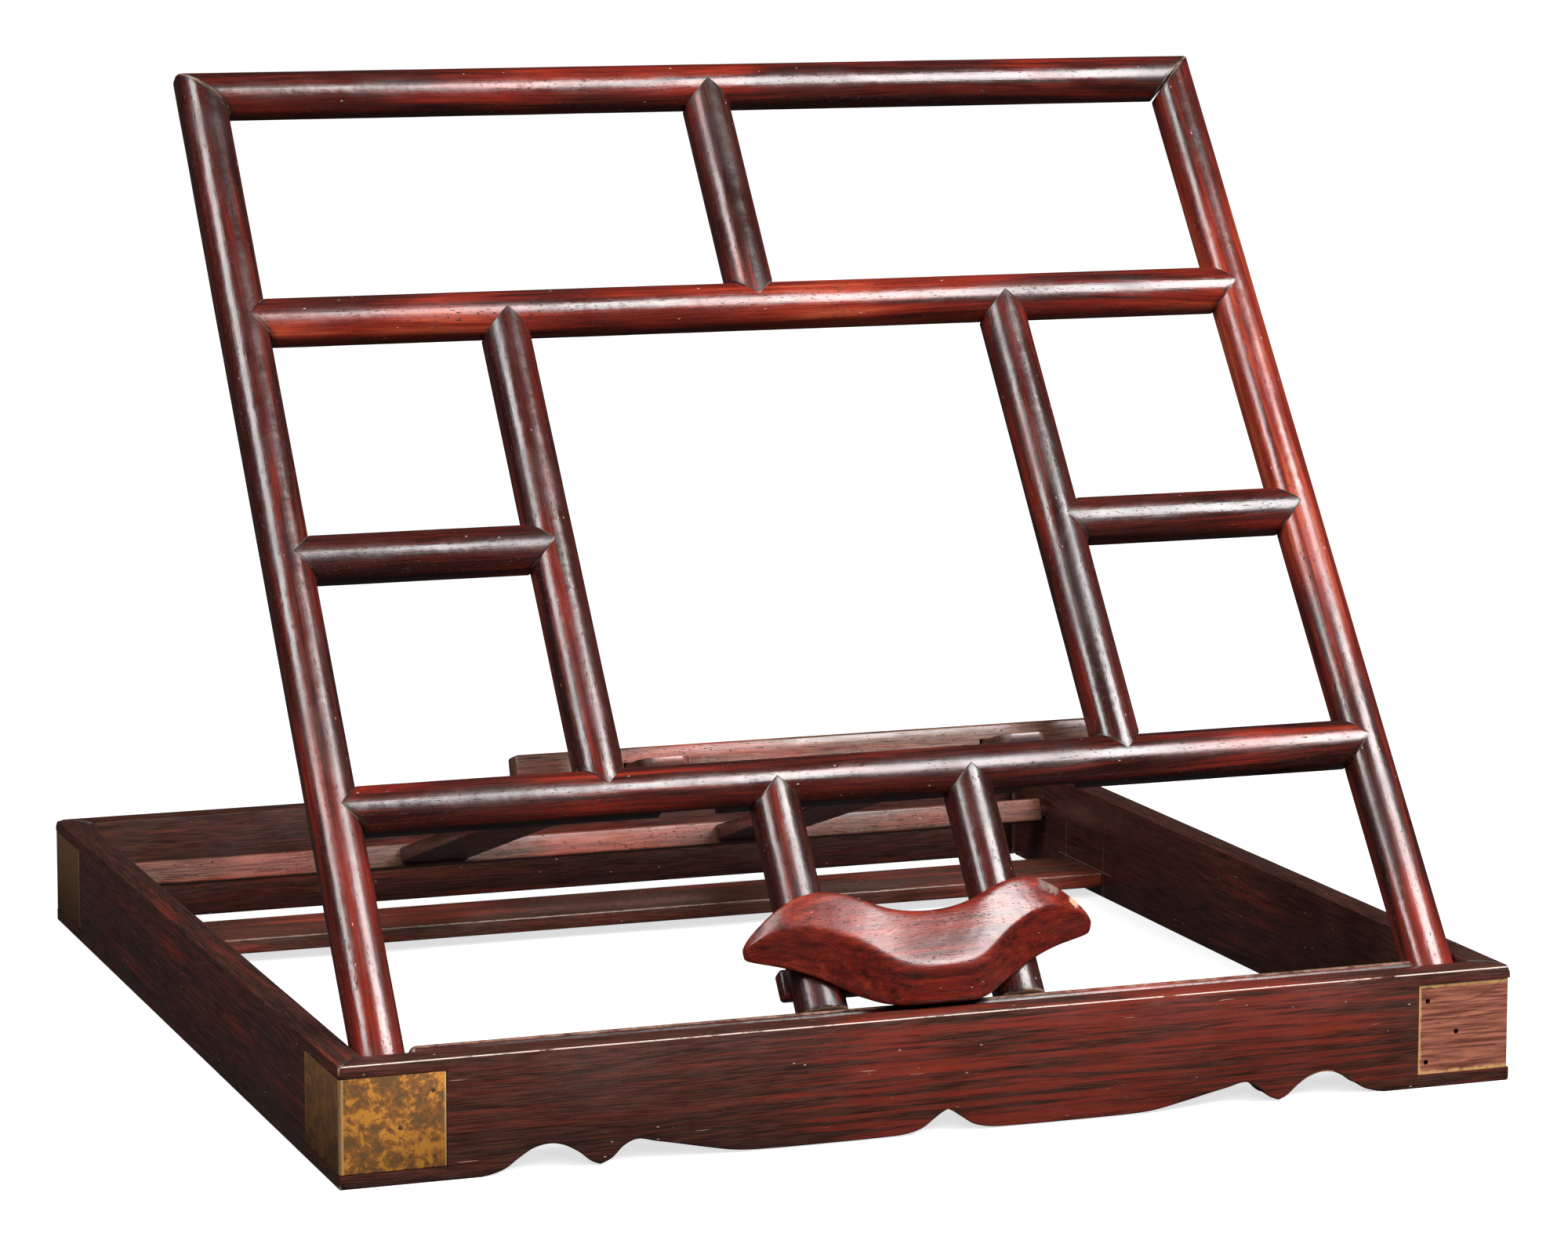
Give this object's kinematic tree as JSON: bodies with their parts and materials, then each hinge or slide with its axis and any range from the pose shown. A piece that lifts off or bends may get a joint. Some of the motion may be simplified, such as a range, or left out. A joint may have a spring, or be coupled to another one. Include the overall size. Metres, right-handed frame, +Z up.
{
  "type": "folding lattice stand",
  "caption": "Low rosewood base frame with a round-barred lattice that leans on a hinged prop and folds flat, and a carved horned rest that slides on two guide posts.",
  "frame": {"origin": "centre of the base frame's footprint, on the surface it stands on", "axes": "+Z up, -Y is the front with the shaped apron, +X is the right-hand side seen from the front"},
  "size_m": [0.3602, 0.3612, 0.295],
  "materials": {
    "base_rosewood": "polished dark red-brown rosewood with fine pores",
    "lattice_rosewood": "polished red-brown rosewood, worn paler at the shoulders",
    "prop_rosewood": "plainer rosewood, satin",
    "carved_rosewood": "polished carved rosewood, chipped at one horn",
    "dark_rosewood": "unpolished dark wood",
    "worn_brass": "rubbed brass with brown stains",
    "aged_brass": "dark tarnished brass"
  },
  "bodies": {
    "base": {"front_rail": "base_rosewood", "rear_rail": "base_rosewood", "left_rail": "base_rosewood", "right_rail": "base_rosewood", "cross_rail": "dark_rosewood", "brass_front_left": "worn_brass", "brass_rear_left": "aged_brass", "brass_rear_right": "aged_brass", "pin_front_left_face_1": "worn_brass", "pin_front_left_face_2": "worn_brass", "pin_front_left_face_3": "worn_brass", "pin_front_left_side_1": "worn_brass", "pin_front_left_side_2": "worn_brass", "pin_front_left_side_3": "worn_brass", "pin_rear_left_face_1": "aged_brass", "pin_rear_left_face_2": "aged_brass", "pin_rear_left_face_3": "aged_brass", "pin_rear_left_side_1": "aged_brass", "pin_rear_left_side_2": "aged_brass", "pin_rear_left_side_3": "aged_brass", "pin_rear_right_face_1": "aged_brass", "pin_rear_right_face_2": "aged_brass", "pin_rear_right_face_3": "aged_brass", "pin_rear_right_side_1": "aged_brass", "pin_rear_right_side_2": "aged_brass", "pin_rear_right_side_3": "aged_brass"},
    "lattice": {"bottom_rail": "lattice_rosewood", "left_stile": "lattice_rosewood", "right_stile": "lattice_rosewood", "top_bar": "lattice_rosewood", "second_bar": "lattice_rosewood", "lower_bar": "lattice_rosewood", "centre_upright": "lattice_rosewood", "left_inner_upright": "lattice_rosewood", "right_inner_upright": "lattice_rosewood", "left_side_bar": "lattice_rosewood", "right_side_bar": "lattice_rosewood", "left_guide_post": "lattice_rosewood", "right_guide_post": "lattice_rosewood"},
    "prop": {"prop_pivot_bar": "prop_rosewood", "prop_head_bar": "prop_rosewood", "left_strut": "prop_rosewood", "right_strut": "prop_rosewood"},
    "rest": {"carved_rest": "carved_rosewood", "rest_tongue": "dark_rosewood", "rest_back_batten": "dark_rosewood"}
  },
  "joints": [
    {"name": "lattice_fold", "type": "hinge", "parent": "base", "child": "lattice", "pos_m": [0, -0.1652, 0.0292], "axis": [1, 0, 0], "range_deg": [-52.8, 0]},
    {"name": "prop_fold", "type": "hinge", "parent": "base", "child": "prop", "pos_m": [0, 0.1453, 0.0211], "axis": [1, 0, 0], "range_deg": [0, 20.5]},
    {"name": "rest_slide", "type": "slide", "parent": "lattice", "child": "rest", "axis": [0, 0.5962, 0.8028], "range_m": [0, 0.044]}
  ],
  "couplings": [
    {"joint": "prop_fold", "follows": "lattice_fold", "ratio": -0.388}
  ]
}
